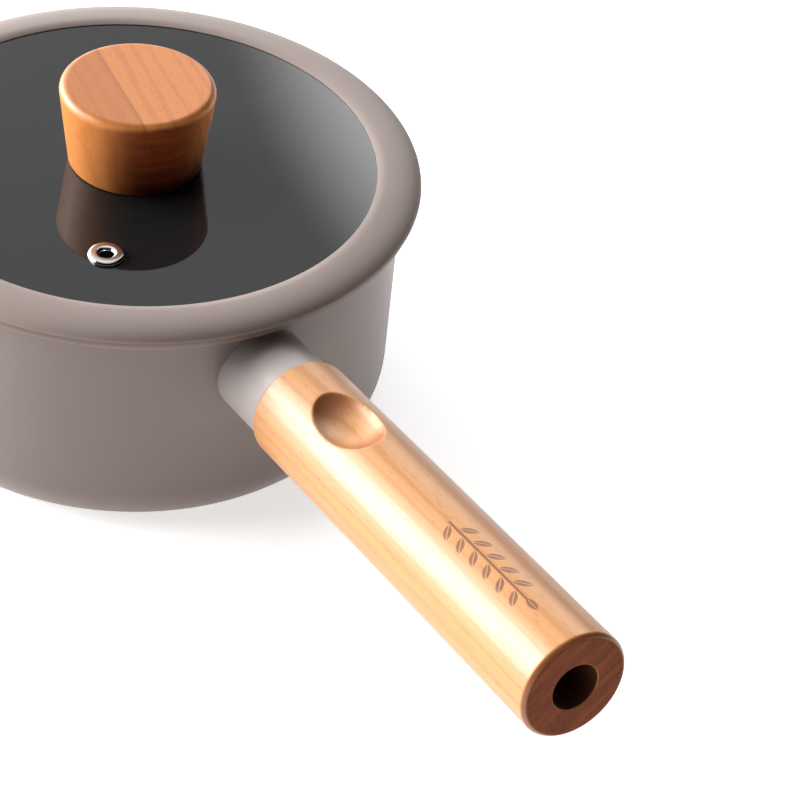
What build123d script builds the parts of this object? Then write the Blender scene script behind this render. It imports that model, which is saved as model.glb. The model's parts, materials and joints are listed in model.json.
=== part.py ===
"""Saucepan with a beech stick handle and a flat glass lid in a silicone rim.

The origin is on the pan's axis at the underside, +Z is up and +X points along the handle.
Two bodies: the pan with its handle, and the lid, which lifts straight off.
"""

from math import cos, radians, sin
import os

from build123d import *

# --- Pan ---------------------------------------------------------------------------------
pan_inner_r = 90.0
pan_wall = 3.5
pan_height = 88.0
base_thickness = 5.0
corner_r = 18.0
flange_width = 5.5
flange_thickness = 3.2
flange_edge_r = 1.0
flange_root_r = 1.5
mouth_edge_r = 1.2
plate_r = 66.0
plate_thickness = 1.2

# --- Handle ------------------------------------------------------------------------------
handle_tilt = 5.6
handle_height = 56.2
ferrule_length = 26.0
ferrule_r = 16.0
ferrule_wall = 3.0
ferrule_cap = 5.0
ferrule_edge_r = 0.6
spigot_r = 9.0
spigot_length = 4.0
spigot_edge_r = 0.8
grip_length = 159.5
grip_proud = 1.9
grip_flare = 0.3
grip_start_edge_r = 0.8
grip_end_edge_r = 2.0
hang_bore_r = 7.9
hang_bore_depth = 60.0

# Thumb scoop: a spheroid sunk into the top of the grip.
scoop_distance = 34.3
scoop_half_length = 21.0
scoop_radius = 16.8
scoop_depth = 5.5
scoop_pitch = 4.0
scoop_roll = 8.0

# --- Handle fastening --------------------------------------------------------------------
boss_r = 8.5
boss_pocket = 4.0
bolt_r = 3.0
bolt_length = 50.0
bolt_head_r = 5.0
bolt_head_height = 6.0
bolt_socket_across_flats = 5.0
bolt_socket_depth = 3.0
insert_r = 4.5
insert_length = 14.0
washer_r = 6.2
washer_thickness = 1.6
spring_washer_r = 5.6
spring_washer_thickness = 1.6
spring_washer_slot = 1.0
bolt_engagement = 11.3
pin_r = 1.5
pin_length = 9.0

# --- Lid ---------------------------------------------------------------------------------
rim_gap = 0.3
rim_overhang = 1.2
rim_edge_r = 0.6
crest_offset = 0.8
crest_rise = 1.15
lip_overlap = 2.7
lip_edge = 0.3
lip_under = 2.0
skirt_depth = 6.5
skirt_gap = 0.7
skirt_width = 3.6
skirt_edge_r = 1.0
glass_inset = 2.3
glass_thickness = 4.0
glass_edge_r = 0.8
glass_above_flange = 3.25

# --- Lid knob ----------------------------------------------------------------------------
knob_base_r = 23.2
knob_top_r = 27.2
knob_height = 30.6
knob_top_edge_r = 3.0
knob_base_edge_r = 0.8
gasket_r = 14.0
gasket_thickness = 1.5
lower_gasket_r = 10.0
collar_r = 4.9
screw_r = 2.5
screw_length = 20.0
screw_head_r = 4.75
screw_head_height = 3.0
screw_slot_width = 1.2
screw_slot_depth = 1.5
screw_washer_r = 9.0
screw_washer_thickness = 1.2
knob_insert_r = 3.6
knob_insert_length = 12.0

# --- Steam vent --------------------------------------------------------------------------
vent_pitch_r = 58.0
vent_angle = -36.7
vent_hole_r = 2.3
vent_tube_r = 3.4
vent_flange_r = 6.3
vent_flange_height = 1.5
vent_flange_edge_r = 1.2
vent_mouth_edge_r = 1.4
vent_tail = 2.0
vent_washer_r = 5.8
vent_washer_thickness = 1.0

# --- Clearances --------------------------------------------------------------------------
thread_clearance = 0.02
shank_clearance = 0.3
spigot_clearance = 0.15
hole_clearance = 0.1
washer_clearance = 0.4
blind_clearance = 1.5

# --- Places worked out from the sizes above -----------------------------------------------
pan_outer_r = pan_inner_r + pan_wall
flange_r = pan_outer_r + flange_width
inner_corner_r = corner_r - pan_wall
flange_bottom = pan_height - flange_thickness

axis_dir = Vector(cos(radians(handle_tilt)), 0, sin(radians(handle_tilt)))
axis_origin = Vector(0, 0, handle_height)
handle_axis = Axis(axis_origin, axis_dir)
handle_section = Plane(origin=axis_origin, x_dir=axis_dir, z_dir=(0, -1, 0))
handle_across = Plane(origin=axis_origin, x_dir=(0, 1, 0), z_dir=axis_dir)

ferrule_end = pan_outer_r + ferrule_length
grip_end = ferrule_end + grip_length
grip_start_r = ferrule_r + grip_proud
grip_end_r = grip_start_r + grip_flare
ferrule_inner_r = ferrule_r - ferrule_wall
spigot_pocket_end = ferrule_end + spigot_length + blind_clearance
boss_end = ferrule_end - ferrule_cap
insert_start = boss_end - insert_length
bolt_tip = boss_end - bolt_engagement
bolt_head_base = bolt_tip + bolt_length
bolt_seat = bolt_head_base - washer_thickness - spring_washer_thickness
head_bore_r = washer_r + washer_clearance
boss_hole_end = insert_start - boss_pocket
pin_offset = (spigot_r + ferrule_r) / 2

# The scoop's spheroid stands over the grip, pitched deeper towards the pan and rolled off the crown.
scoop_height = grip_start_r - scoop_depth + scoop_radius
scoop_centre = handle_section.from_local_coords((ferrule_end + scoop_distance, scoop_height))
scoop_plane = Plane(
    origin=scoop_centre.rotate(handle_axis, scoop_roll),
    x_dir=axis_dir.rotate(Axis.Y, -scoop_pitch).rotate(handle_axis, scoop_roll),
    z_dir=Vector(0, -1, 0).rotate(handle_axis, scoop_roll),
)

rim_bottom = pan_height + rim_gap
glass_top = pan_height + glass_above_flange
glass_bottom = glass_top - glass_thickness
crest_z = glass_top + crest_rise
lip_bottom = glass_bottom - lip_under
rim_r = flange_r + rim_overhang
skirt_r = pan_inner_r - skirt_gap
skirt_inner_r = skirt_r - skirt_width
skirt_bottom = pan_height - skirt_depth
glass_r = skirt_r - glass_inset
crest_r = glass_r + crest_offset
lip_r = glass_r - lip_overlap

knob_top = glass_top + knob_height
knob_recess_top = glass_top + gasket_thickness
lower_gasket_bottom = glass_bottom - gasket_thickness
screw_head_top = lower_gasket_bottom - screw_washer_thickness
screw_tip = screw_head_top + screw_length
knob_insert_top = knob_recess_top + knob_insert_length
knob_hole_top = max(knob_insert_top, screw_tip) + blind_clearance
glass_hole_r = collar_r + hole_clearance
vent_glass_hole_r = vent_tube_r + hole_clearance
vent_centre = Vector(vent_pitch_r, 0, 0).rotate(Axis.Z, vent_angle)
vent_bottom = glass_bottom - vent_tail


def write(part, name):
    """Labels a finished piece and writes it as one STEP file."""
    part.label = name
    export_step(part, f"parts/{name}.step")


os.makedirs("parts", exist_ok=True)

# === Pan body: one casting with its rolled flange ==========================================
with BuildPart() as pan_body:
    with BuildSketch(Plane.XZ):
        with BuildLine():
            FilletPolyline(
                (0, 0),
                (pan_outer_r, 0),
                (pan_outer_r, flange_bottom),
                (flange_r, flange_bottom),
                (flange_r, pan_height),
                (pan_inner_r, pan_height),
                (pan_inner_r, base_thickness),
                (0, base_thickness),
                radius=(0, corner_r, flange_root_r, flange_edge_r, flange_edge_r, mouth_edge_r, inner_corner_r, 0),
                close=True,
            )
        make_face()
    revolve(axis=Axis.Z)
    with BuildSketch(Plane.XY):
        Circle(plate_r)
    extrude(amount=plate_thickness, mode=Mode.SUBTRACT)
write(pan_body.part, "pan_body")

# === Boss: an aluminium stud welded to the wall, drilled for the threaded bush =============
with BuildPart() as handle_boss:
    with BuildSketch(handle_across.offset(pan_inner_r)):
        Circle(boss_r)
    extrude(amount=boss_end - pan_inner_r)
    with BuildSketch(handle_across.offset(insert_start)):
        Circle(insert_r)
    extrude(amount=insert_length, mode=Mode.SUBTRACT)
    with BuildSketch(handle_across.offset(boss_hole_end)):
        Circle(bolt_r)
    extrude(amount=boss_end - boss_hole_end, mode=Mode.SUBTRACT)
    with BuildSketch(Plane.XY):
        Circle(pan_outer_r)
    extrude(amount=pan_height, mode=Mode.SUBTRACT)
write(handle_boss.part, "handle_boss")

# === Magnetic steel plate, flush in the underside =========================================
with BuildPart() as induction_plate:
    with BuildSketch(Plane.XY):
        Circle(plate_r)
    extrude(amount=plate_thickness)
write(induction_plate.part, "induction_plate")

# === Threaded bush pressed into the boss ==================================================
with BuildPart() as boss_insert:
    with BuildSketch(handle_across.offset(insert_start)):
        Circle(insert_r)
        Circle(bolt_r + thread_clearance, mode=Mode.SUBTRACT)
    extrude(amount=insert_length)
write(boss_insert.part, "boss_insert")

# === Painted ferrule: a sleeve saddled to the wall, with a spigot for the grip ============
with BuildPart() as handle_ferrule:
    with BuildSketch(handle_section):
        with BuildLine():
            FilletPolyline(
                (pan_inner_r, ferrule_inner_r),
                (boss_end, ferrule_inner_r),
                (boss_end, bolt_r + shank_clearance),
                (ferrule_end + spigot_length, bolt_r + shank_clearance),
                (ferrule_end + spigot_length, spigot_r),
                (ferrule_end, spigot_r),
                (ferrule_end, ferrule_r),
                (pan_inner_r, ferrule_r),
                radius=(0, 0, 0, 0, spigot_edge_r, 0, ferrule_edge_r, 0),
                close=True,
            )
        make_face()
    revolve(axis=handle_axis)
    with BuildSketch(handle_across.offset(ferrule_end - pin_length / 2)):
        with Locations((0, -pin_offset)):
            Circle(pin_r)
    extrude(amount=pin_length / 2, mode=Mode.SUBTRACT)
    with BuildSketch(Plane.XY):
        Circle(pan_outer_r)
    extrude(amount=pan_height, mode=Mode.SUBTRACT)
write(handle_ferrule.part, "handle_ferrule")

# === Pin that stops the grip turning on the ferrule =======================================
with BuildPart() as locating_pin:
    with BuildSketch(handle_across.offset(ferrule_end - pin_length / 2)):
        with Locations((0, -pin_offset)):
            Circle(pin_r)
    extrude(amount=pin_length)
write(locating_pin.part, "locating_pin")

# === Beech grip: turned, bored for hanging and for the bolt, with a thumb scoop ===========
with BuildPart() as handle_grip:
    with BuildSketch(handle_section):
        with BuildLine():
            FilletPolyline(
                (ferrule_end, 0),
                (grip_end, 0),
                (grip_end, grip_end_r),
                (ferrule_end, grip_start_r),
                radius=(0, 0, grip_end_edge_r, grip_start_edge_r),
                close=True,
            )
        make_face()
    revolve(axis=handle_axis)
    with BuildSketch(handle_section):
        with BuildLine():
            Polyline(
                (ferrule_end, 0),
                (grip_end, 0),
                (grip_end, hang_bore_r),
                (grip_end - hang_bore_depth, hang_bore_r),
                (grip_end - hang_bore_depth, head_bore_r),
                (bolt_seat, head_bore_r),
                (bolt_seat, bolt_r + shank_clearance),
                (spigot_pocket_end, bolt_r + shank_clearance),
                (spigot_pocket_end, spigot_r + spigot_clearance),
                (ferrule_end, spigot_r + spigot_clearance),
                close=True,
            )
        make_face()
    revolve(axis=handle_axis, mode=Mode.SUBTRACT)
    with BuildSketch(handle_across.offset(ferrule_end)):
        with Locations((0, -pin_offset)):
            Circle(pin_r)
    extrude(amount=pin_length / 2, mode=Mode.SUBTRACT)
    with BuildSketch(scoop_plane):
        with BuildLine():
            scoop_arc = EllipticalCenterArc((0, 0), scoop_half_length, scoop_radius, 0, arc_size=180)
            Line(scoop_arc @ 1, scoop_arc @ 0)
        make_face()
    revolve(axis=Axis(scoop_plane.origin, scoop_plane.x_dir), mode=Mode.SUBTRACT)
write(handle_grip.part, "handle_grip")

# === Bolt that pulls the grip and ferrule onto the boss ===================================
with BuildPart() as handle_bolt:
    with BuildSketch(handle_across.offset(bolt_tip)):
        Circle(bolt_r)
    extrude(amount=bolt_length)
    chamfer(handle_bolt.edges().sort_by(handle_axis)[0], bolt_r / 6)
    with BuildSketch(handle_across.offset(bolt_head_base)):
        Circle(bolt_head_r)
    extrude(amount=bolt_head_height)
    chamfer(handle_bolt.edges().sort_by(handle_axis)[-1], bolt_head_r / 12)
    with BuildSketch(handle_across.offset(bolt_head_base + bolt_head_height)):
        RegularPolygon(bolt_socket_across_flats / 2, 6, major_radius=False)
    extrude(amount=-bolt_socket_depth, mode=Mode.SUBTRACT)
write(handle_bolt.part, "handle_bolt")

with BuildPart() as bolt_washer:
    with BuildSketch(handle_across.offset(bolt_seat)):
        Circle(washer_r)
        Circle(bolt_r + shank_clearance, mode=Mode.SUBTRACT)
    extrude(amount=washer_thickness)
write(bolt_washer.part, "bolt_washer")

with BuildPart() as spring_washer:
    with BuildSketch(handle_across.offset(bolt_seat + washer_thickness)):
        Circle(spring_washer_r)
        Circle(bolt_r + shank_clearance, mode=Mode.SUBTRACT)
        with Locations((0, spring_washer_r)):
            Rectangle(spring_washer_slot, 2 * spring_washer_r, mode=Mode.SUBTRACT)
    extrude(amount=spring_washer_thickness)
write(spring_washer.part, "spring_washer")

# === Lid glass ============================================================================
with BuildPart() as lid_glass:
    with BuildSketch(Plane.XY.offset(glass_bottom)):
        Circle(glass_r)
        Circle(glass_hole_r, mode=Mode.SUBTRACT)
        with Locations(vent_centre):
            Circle(vent_glass_hole_r, mode=Mode.SUBTRACT)
    extrude(amount=glass_thickness)
    fillet(lid_glass.edges().filter_by(GeomType.CIRCLE).sort_by(SortBy.RADIUS)[-2:], glass_edge_r)
write(lid_glass.part, "lid_glass")

# === Silicone rim: a groove for the glass, a wing over the flange, a skirt in the mouth ====
with BuildPart() as lid_rim:
    with BuildSketch(Plane.XZ):
        with BuildLine():
            FilletPolyline(
                (crest_r, crest_z),
                (lip_r, glass_top + lip_edge),
                (lip_r, glass_top),
                (glass_r, glass_top),
                (glass_r, glass_bottom),
                (lip_r, glass_bottom),
                (skirt_inner_r, lip_bottom),
                (skirt_inner_r, skirt_bottom),
                (skirt_r, skirt_bottom),
                (skirt_r, rim_bottom),
                (rim_r, rim_bottom),
                radius=(0, 0, glass_edge_r, glass_edge_r, 0, 0, skirt_edge_r, skirt_edge_r, 0),
            )
            EllipticalCenterArc((crest_r, rim_bottom), rim_r - crest_r, crest_z - rim_bottom, 0, arc_size=90)
        make_face()
    revolve(axis=Axis.Z)
    fillet(lid_rim.edges().filter_by(GeomType.CIRCLE).sort_by(SortBy.RADIUS)[-1], rim_edge_r)
write(lid_rim.part, "lid_rim")

# === Beech knob ===========================================================================
with BuildPart() as lid_knob:
    with BuildSketch(Plane.XZ):
        with BuildLine():
            FilletPolyline(
                (0, knob_top),
                (knob_top_r, knob_top),
                (knob_base_r, glass_top),
                (gasket_r, glass_top),
                (gasket_r, knob_recess_top),
                (knob_insert_r, knob_recess_top),
                (knob_insert_r, knob_hole_top),
                (0, knob_hole_top),
                radius=(0, knob_top_edge_r, knob_base_edge_r, 0, 0, 0, 0, 0),
                close=True,
            )
        make_face()
    revolve(axis=Axis.Z)
write(lid_knob.part, "lid_knob")

# === Knob fastening =======================================================================
with BuildPart() as knob_insert:
    with BuildSketch(Plane.XY.offset(knob_recess_top)):
        Circle(knob_insert_r)
        Circle(screw_r + thread_clearance, mode=Mode.SUBTRACT)
    extrude(amount=knob_insert_length)
write(knob_insert.part, "knob_insert")

with BuildPart() as knob_gasket_upper:
    with BuildSketch(Plane.XY.offset(glass_top)):
        Circle(gasket_r)
        Circle(glass_hole_r, mode=Mode.SUBTRACT)
    extrude(amount=gasket_thickness)
write(knob_gasket_upper.part, "knob_gasket_upper")

with BuildPart() as knob_gasket_lower:
    with BuildSketch(Plane.XY.offset(lower_gasket_bottom)):
        Circle(lower_gasket_r)
    extrude(amount=gasket_thickness)
    with BuildSketch(Plane.XY.offset(glass_bottom)):
        Circle(collar_r)
    extrude(amount=glass_thickness)
    with BuildSketch(Plane.XY.offset(lower_gasket_bottom)):
        Circle(screw_r + hole_clearance)
    extrude(amount=gasket_thickness + glass_thickness, mode=Mode.SUBTRACT)
write(knob_gasket_lower.part, "knob_gasket_lower")

with BuildPart() as knob_washer:
    with BuildSketch(Plane.XY.offset(screw_head_top)):
        Circle(screw_washer_r)
        Circle(screw_r + hole_clearance, mode=Mode.SUBTRACT)
    extrude(amount=screw_washer_thickness)
    fillet(knob_washer.faces().sort_by(Axis.Z)[0].outer_wire().edges(), screw_washer_thickness / 2)
write(knob_washer.part, "knob_washer")

with BuildPart() as knob_screw:
    with BuildSketch(Plane.XY.offset(screw_head_top)):
        Circle(screw_r)
    extrude(amount=screw_length)
    with BuildSketch(Plane.XY.offset(screw_head_top)):
        Circle(screw_head_r)
    extrude(amount=-screw_head_height)
    fillet(knob_screw.edges().group_by(Axis.Z)[0], screw_head_height / 2)
    with BuildSketch(Plane.XY.offset(screw_head_top - screw_head_height)):
        Rectangle(2 * screw_head_r, screw_slot_width)
        Rectangle(screw_slot_width, 2 * screw_head_r)
    extrude(amount=screw_slot_depth, mode=Mode.SUBTRACT)
write(knob_screw.part, "knob_screw")

# === Steam vent: an eyelet through the glass, clinched over a washer ======================
vent_section = Plane(origin=vent_centre, x_dir=(1, 0, 0), z_dir=(0, -1, 0))
with BuildPart() as vent_eyelet:
    with BuildSketch(vent_section):
        with BuildLine():
            FilletPolyline(
                (vent_hole_r, vent_bottom),
                (vent_tube_r, vent_bottom),
                (vent_tube_r, glass_top),
                (vent_flange_r, glass_top),
                (vent_flange_r, glass_top + vent_flange_height),
                (vent_hole_r, glass_top + vent_flange_height),
                radius=(0, 0, 0, 0, vent_flange_edge_r, vent_mouth_edge_r),
                close=True,
            )
        make_face()
    revolve(axis=Axis(vent_centre, (0, 0, 1)))
write(vent_eyelet.part, "vent_eyelet")

with BuildPart() as vent_washer:
    with BuildSketch(Plane.XY.offset(glass_bottom - vent_washer_thickness)):
        with Locations(vent_centre):
            Circle(vent_washer_r)
            Circle(vent_tube_r, mode=Mode.SUBTRACT)
    extrude(amount=vent_washer_thickness)
write(vent_washer.part, "vent_washer")
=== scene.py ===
"""Looks of a stick-handled saucepan with a flat glass lid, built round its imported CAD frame.

The pan, base plate, ferrule, grip, knob, rim and eyelet are turned in mesh code and stand for
their CAD nodes.
The glass, the gaskets and the hardware inside keep their CAD shape and get finishes of their own.
"""

from collections.abc import Sequence
from dataclasses import dataclass, field
from enum import Enum
import json
import logging
import math

import bmesh
import bpy
from mathutils import Matrix, Vector


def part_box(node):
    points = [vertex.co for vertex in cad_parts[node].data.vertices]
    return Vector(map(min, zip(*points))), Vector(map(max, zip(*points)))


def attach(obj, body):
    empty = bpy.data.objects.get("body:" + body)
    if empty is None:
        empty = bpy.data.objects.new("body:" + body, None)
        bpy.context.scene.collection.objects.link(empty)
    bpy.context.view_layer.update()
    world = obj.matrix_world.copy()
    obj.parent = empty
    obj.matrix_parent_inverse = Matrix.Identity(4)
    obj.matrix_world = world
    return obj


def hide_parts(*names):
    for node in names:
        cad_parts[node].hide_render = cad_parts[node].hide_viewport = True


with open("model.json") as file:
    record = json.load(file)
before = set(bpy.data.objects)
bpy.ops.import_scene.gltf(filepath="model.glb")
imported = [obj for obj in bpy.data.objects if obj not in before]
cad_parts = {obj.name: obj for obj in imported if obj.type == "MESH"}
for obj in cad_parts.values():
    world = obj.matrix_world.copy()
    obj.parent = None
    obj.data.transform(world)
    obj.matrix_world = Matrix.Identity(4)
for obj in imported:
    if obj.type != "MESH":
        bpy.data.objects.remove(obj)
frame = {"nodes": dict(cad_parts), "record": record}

logging.basicConfig(level=logging.INFO, format="%(name)s: %(message)s")
log = logging.getLogger("saucepan")

MM = 0.001
WELD = 1e-6
Colour = tuple[float, float, float]

COAT_GRAIN = 0.00002
WOOD_GRAIN = 0.00004
COAT_SPECK: Colour = (0.09, 0.075, 0.065)
# Painted shade: the warm dark line on the flange's upper outer edge, where the silicone rim's overhang shades
# the gap.
FLANGE_GAP_SHADE: Colour = (0.15, 0.062, 0.03)
LINT: Colour = (0.8, 0.76, 0.72)
SOOT: Colour = (0.125, 0.037, 0.011)
# Painted shade inside the grip's hanging bore, for the dark of the deep hole.
BORE_SHADE: Colour = (0.09, 0.028, 0.010)


# --- Turning: how every round piece is made -------------------------------------------------


@dataclass(frozen=True)
class Corner:
    """One corner of a turned section, in millimetres.

    Args:
        r: distance from the axis of turning.
        h: height along that axis.
        rounding: radius of the corner, 0 for a sharp one.
        segments: flats that the rounding is divided into.
    """

    r: float
    h: float
    rounding: float = 0.0
    segments: int = 6


def section(corners: Sequence[Corner]) -> bmesh.types.BMesh:
    """Draws a closed section in the XZ plane and rounds its corners.

    Args:
        corners: the section's corners in order.

    Returns:
        A bmesh that holds the section as one face.
    """
    bm = bmesh.new()
    points = [Vector((c.r, 0.0, c.h)) * MM for c in corners]
    verts = [bm.verts.new(p) for p in points]
    bm.faces.new(verts)
    for i, corner in enumerate(corners):
        if corner.rounding <= 0.0:
            continue
        before = points[i - 1] - points[i]
        after = points[(i + 1) % len(points)] - points[i]
        half_angle = before.angle(after) / 2.0
        bmesh.ops.bevel(
            bm,
            geom=[verts[i]],
            offset=corner.rounding * MM / math.tan(half_angle),
            offset_type="OFFSET",
            segments=corner.segments,
            profile=0.5,
            affect="VERTICES",
            material=-1,
        )
    return bm


def cut_line(bm: bmesh.types.BMesh, start: Vector, end: Vector, cuts: int) -> list[bmesh.types.BMVert]:
    """Divides one line of a section.

    Args:
        bm: the section.
        start: one end of the line, in metres.
        end: its other end.
        cuts: number of points that are put in.

    Returns:
        The new points.
    """
    line = min(bm.edges, key=lambda e: sum(min((v.co - p).length for v in e.verts) for p in (start, end)))
    made = bmesh.ops.subdivide_edges(bm, edges=[line], cuts=cuts)
    return [g for g in made["geom_inner"] if isinstance(g, bmesh.types.BMVert)]


def spin_section(bm: bmesh.types.BMesh, steps: int) -> None:
    """Turns a section about the Z axis into a closed solid.

    Args:
        bm: a bmesh that holds the section as one face in the XZ plane.
        steps: divisions round the full circle.
    """
    bmesh.ops.delete(bm, geom=bm.faces[:], context="FACES_ONLY")
    on_axis = [e for e in bm.edges if all(v.co.x < WELD for v in e.verts)]
    bmesh.ops.delete(bm, geom=on_axis, context="EDGES")
    bmesh.ops.spin(
        bm,
        geom=bm.verts[:] + bm.edges[:],
        cent=(0.0, 0.0, 0.0),
        axis=(0.0, 0.0, 1.0),
        angle=math.tau,
        steps=steps,
        use_merge=True,
    )
    bmesh.ops.remove_doubles(bm, verts=bm.verts[:], dist=WELD)
    bmesh.ops.recalc_face_normals(bm, faces=bm.faces[:])


def turned(corners: Sequence[Corner], steps: int = 128) -> bmesh.types.BMesh:
    """Makes a turned solid about the Z axis.

    Args:
        corners: the section's corners in order, in millimetres.
        steps: divisions round the full circle.

    Returns:
        A bmesh of the solid, in metres.
    """
    bm = section(corners)
    spin_section(bm, steps)
    return bm


def finish_piece(
    bm: bmesh.types.BMesh,
    name: str,
    body: str,
    nodes: Sequence[str],
    material: bpy.types.Material,
    sharp_angle: float = 40.0,
) -> bpy.types.Object:
    """Makes an object of a bmesh that already lies in its place, and ties it to the frame.

    Args:
        bm: the mesh, which is freed here.
        name: the piece's name.
        body: the CAD body that it rides on.
        nodes: the CAD nodes that it stands for.
        material: its finish.
        sharp_angle: edges that turn more than this many degrees are shaded sharp.

    Returns:
        The finished object.
    """
    mesh = bpy.data.meshes.new(name)
    bm.to_mesh(mesh)
    bm.free()
    mesh.shade_smooth()
    mesh.set_sharp_from_angle(angle=math.radians(sharp_angle))
    piece = bpy.data.objects.new(name, mesh)
    bpy.context.scene.collection.objects.link(piece)
    piece.data.materials.append(material)
    weighted = piece.modifiers.new("Even shading", "WEIGHTED_NORMAL")
    weighted.keep_sharp = True
    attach(piece, body)
    if nodes:
        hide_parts(*nodes)
    log.info("%s: %d faces on body %s", name, len(mesh.polygons), body)
    return piece


def dress_node(node: str, material: bpy.types.Material) -> None:
    """Gives a CAD node that keeps its shape a finish.

    Args:
        node: the CAD node's name.
        material: its finish.
    """
    slots = frame["nodes"][node].data.materials
    slots.clear()
    slots.append(material)
    log.info("%s: keeps its CAD shape", node)


# --- Materials: a bench to wire nodes on, and the finishes ----------------------------------


class NodeBench:
    """Wires the nodes of one material."""

    def __init__(self, name: str) -> None:
        """Starts a material with a Principled shader.

        Args:
            name: the material's name.
        """
        self.material = bpy.data.materials.new(name)
        self.material.use_nodes = True
        self.tree = self.material.node_tree
        self.shader = self.tree.nodes["Principled BSDF"]
        self.coordinates = self.tree.nodes.new("ShaderNodeTexCoord")

    def node(self, kind: str, settings: dict | None = None, **inputs: object) -> bpy.types.Node:
        """Adds a node.

        Args:
            kind: Blender's type name of the node, without "ShaderNode".
            settings: its properties.
            **inputs: its sockets by name, each a value or another node's output.

        Returns:
            The node.
        """
        node = self.tree.nodes.new("ShaderNode" + kind)
        for key, value in (settings or {}).items():
            setattr(node, key, value)
        for key, value in inputs.items():
            self.plug(node.inputs[key.replace("_", " ")], value)
        return node

    def plug(self, socket: bpy.types.NodeSocket, value: object) -> None:
        """Links an output to a socket, or sets the socket's own value."""
        if isinstance(value, bpy.types.NodeSocket):
            self.tree.links.new(value, socket)
        elif socket.type == "RGBA":
            socket.default_value = (*value[:3], 1.0)
        else:
            socket.default_value = value

    def maths(self, operation: str, *values: object, clamp: bool = False) -> bpy.types.NodeSocket:
        """Adds a Math node and returns its result.

        Args:
            operation: Blender's name of the operation.
            *values: its operands, numbers or outputs.
            clamp: whether the result is kept between 0 and 1.

        Returns:
            The node's output.
        """
        node = self.tree.nodes.new("ShaderNodeMath")
        node.operation = operation
        node.use_clamp = clamp
        for socket, value in zip(node.inputs, values):
            self.plug(socket, value)
        return node.outputs[0]

    def ramp(self, value: object, low: float, high: float) -> bpy.types.NodeSocket:
        """Turns a value into a soft step that is 0 at low and 1 at high."""
        node = self.tree.nodes.new("ShaderNodeMapRange")
        node.interpolation_type = "SMOOTHSTEP"
        self.plug(node.inputs["Value"], value)
        node.inputs["From Min"].default_value = low
        node.inputs["From Max"].default_value = high
        return node.outputs["Result"]

    def mix(self, factor: object, first: object, second: object, blend: str = "MIX") -> bpy.types.NodeSocket:
        """Mixes two colours.

        Args:
            factor: share of the second colour.
            first: a colour or an output.
            second: a colour or an output.
            blend: Blender's name of the blend.

        Returns:
            The mixed colour.
        """
        node = self.tree.nodes.new("ShaderNodeMix")
        node.data_type = "RGBA"
        node.blend_type = blend
        self.plug(node.inputs[0], factor)
        for socket, value in ((node.inputs[6], first), (node.inputs[7], second)):
            self.plug(socket, value)
        return node.outputs[2]

    def place(self, frame_matrix: Matrix | None = None) -> bpy.types.NodeSocket:
        """Returns Object coordinates, turned into a piece's own frame.

        Args:
            frame_matrix: the piece's frame in the row's frame, or None for the row's own.

        Returns:
            The coordinates, in metres.
        """
        if frame_matrix is None:
            return self.coordinates.outputs["Object"]
        inverse = frame_matrix.inverted()
        mapping = self.node("Mapping", Vector=self.coordinates.outputs["Object"])
        mapping.inputs["Location"].default_value = inverse.to_translation()
        mapping.inputs["Rotation"].default_value = inverse.to_euler()
        return mapping.outputs["Vector"]

    def stretched(self, vector: object, scale: tuple[float, float, float]) -> bpy.types.NodeSocket:
        """Scales coordinates along each axis."""
        mapping = self.node("Mapping", Vector=vector)
        mapping.inputs["Scale"].default_value = scale
        return mapping.outputs["Vector"]

    def noise(
        self, vector: object, scale: float, detail: float = 2.0, roughness: float = 0.5
    ) -> bpy.types.NodeSocket:
        """Adds a noise texture and returns its value."""
        node = self.node("TexNoise", Vector=vector, Scale=scale, Detail=detail, Roughness=roughness)
        return node.outputs["Fac"]

    def radius(self, vector: object) -> bpy.types.NodeSocket:
        """Returns how far coordinates lie from their Z axis."""
        flat = self.stretched(vector, (1.0, 1.0, 0.0))
        return self.node("VectorMath", {"operation": "LENGTH"}, Vector=flat).outputs["Value"]

    def bump(self, height: object, strength: float, depth: float) -> None:
        """Gives the shader a bump.

        Args:
            height: the height's output, from 0 to 1.
            strength: share of the bump that is felt.
            depth: the bump's full depth in metres.
        """
        node = self.node("Bump", Height=height, Strength=strength, Distance=depth)
        self.plug(self.shader.inputs["Normal"], node.outputs["Normal"])

    def finish(self, **inputs: object) -> bpy.types.Material:
        """Sets the shader's sockets and returns the material."""
        for key, value in inputs.items():
            self.plug(self.shader.inputs[key.replace("_", " ")], value)
        return self.material


def sprayed_skin(bench: NodeBench, place: object) -> tuple[bpy.types.NodeSocket, ...]:
    """Wires what sprayed coatings share.

    Args:
        bench: the material's bench.
        place: the coordinates that the coating lies on.

    Returns:
        The coating's slow cloudiness, its finest grit and the height of its grain.
    """
    cloud = bench.noise(place, 22.0, 3.0)
    grit = bench.noise(place, 2600.0, 2.0, 0.6)
    lumps = bench.noise(place, 420.0, 2.0)
    height = bench.maths("ADD", bench.maths("MULTIPLY", lumps, 0.7), bench.maths("MULTIPLY", grit, 0.3))
    return cloud, grit, height


@dataclass(frozen=True)
class MatteCoat:
    """A matte baked coating, with the fine grain and cloudiness of sprayed ceramic.

    Args:
        name: the material's name.
        colour: its colour.
        roughness: its mean roughness.
    """

    name: str
    colour: Colour
    roughness: float = 0.5

    def material(self) -> bpy.types.Material:
        """Builds the material."""
        bench = NodeBench(self.name)
        place = bench.place()
        cloud, grit, height = sprayed_skin(bench, place)
        pale = tuple(min(1.0, c * 1.06) for c in self.colour)
        dark = tuple(c * 0.94 for c in self.colour)
        colour = bench.mix(cloud, dark, pale)
        speck = bench.ramp(grit, 0.66, 0.74)
        colour = bench.mix(bench.maths("MULTIPLY", speck, 0.12), colour, tuple(c * 0.6 for c in self.colour))
        bench.bump(height, 0.5, COAT_GRAIN)
        rough = bench.maths("MULTIPLY_ADD", cloud, 0.08, self.roughness - 0.04)
        return bench.finish(Base_Color=colour, Roughness=rough, Specular_IOR_Level=0.5)


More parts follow.
